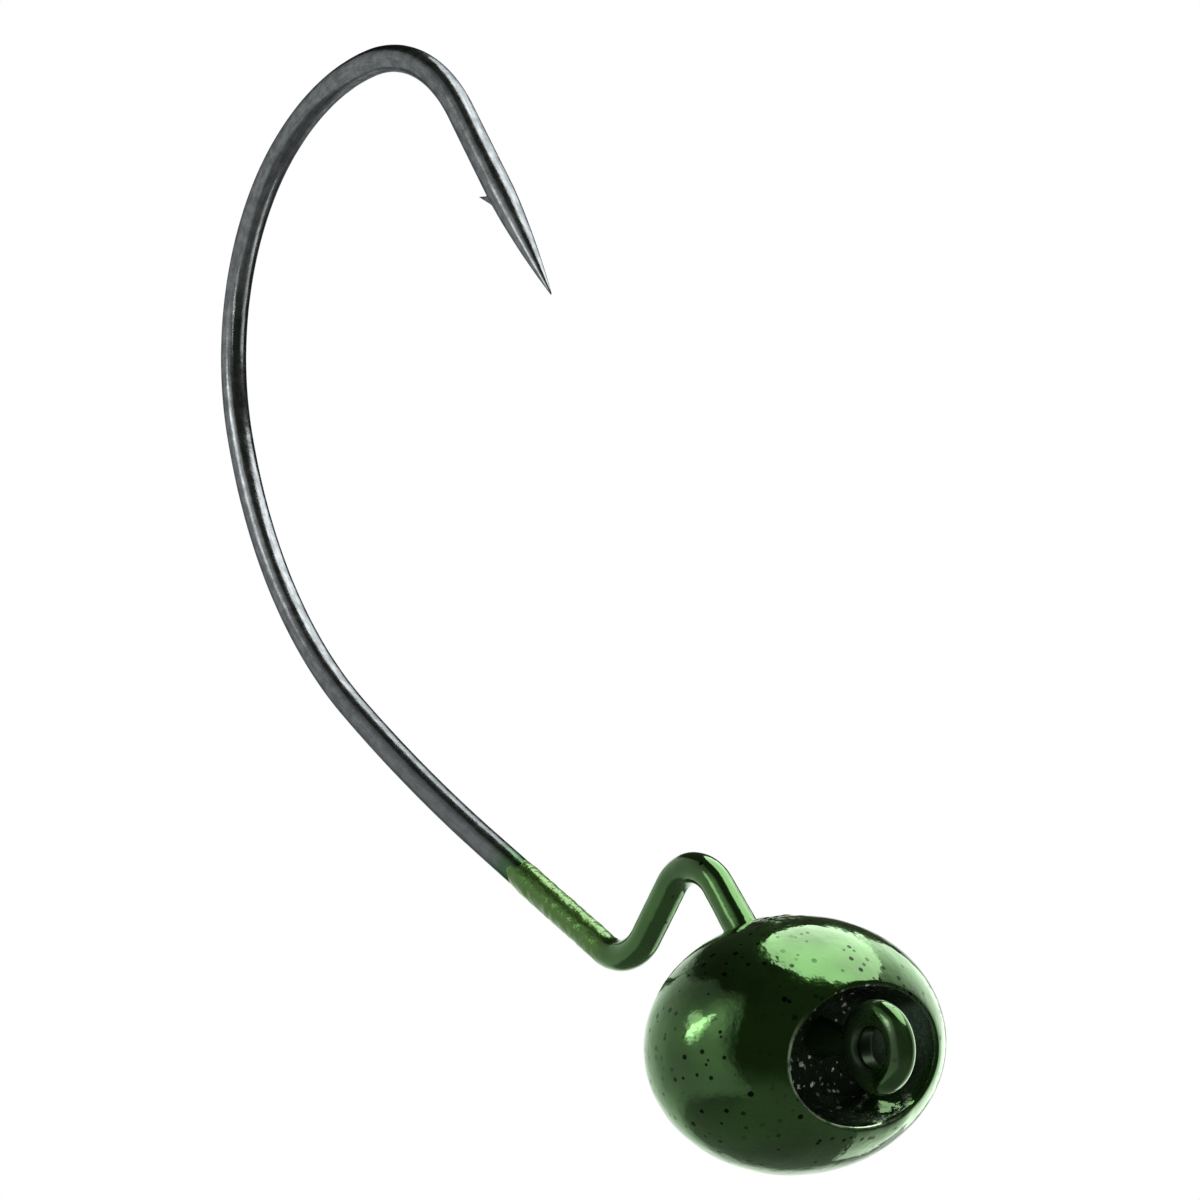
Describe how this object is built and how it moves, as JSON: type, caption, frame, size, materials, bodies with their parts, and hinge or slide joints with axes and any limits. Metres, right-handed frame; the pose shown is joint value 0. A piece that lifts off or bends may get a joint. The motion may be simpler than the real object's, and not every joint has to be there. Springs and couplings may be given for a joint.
{
  "type": "jig head",
  "caption": "Football-shaped lead jig head moulded on a round-bend hook, with a recessed line-tie eye and a Z-bent bait keeper neck.",
  "frame": {"origin": "centre of the line-tie eye, in the hook's plane", "axes": "+X forward to the fishing line, +Z to the side the hook bends round to, +Y across, along the football head's long axis and the eye's hole"},
  "size_m": [0.0501, 0.013, 0.0481],
  "materials": {
    "hook_steel": "black nickel plate, bright",
    "lead": "as cast",
    "green_paint": "glossy with fine black flecks"
  },
  "bodies": {
    "root": {"hook": "hook_steel", "lead_head": "lead", "head_paint": "green_paint", "neck_paint": "green_paint", "eye_paint": "green_paint"}
  },
  "joints": []
}
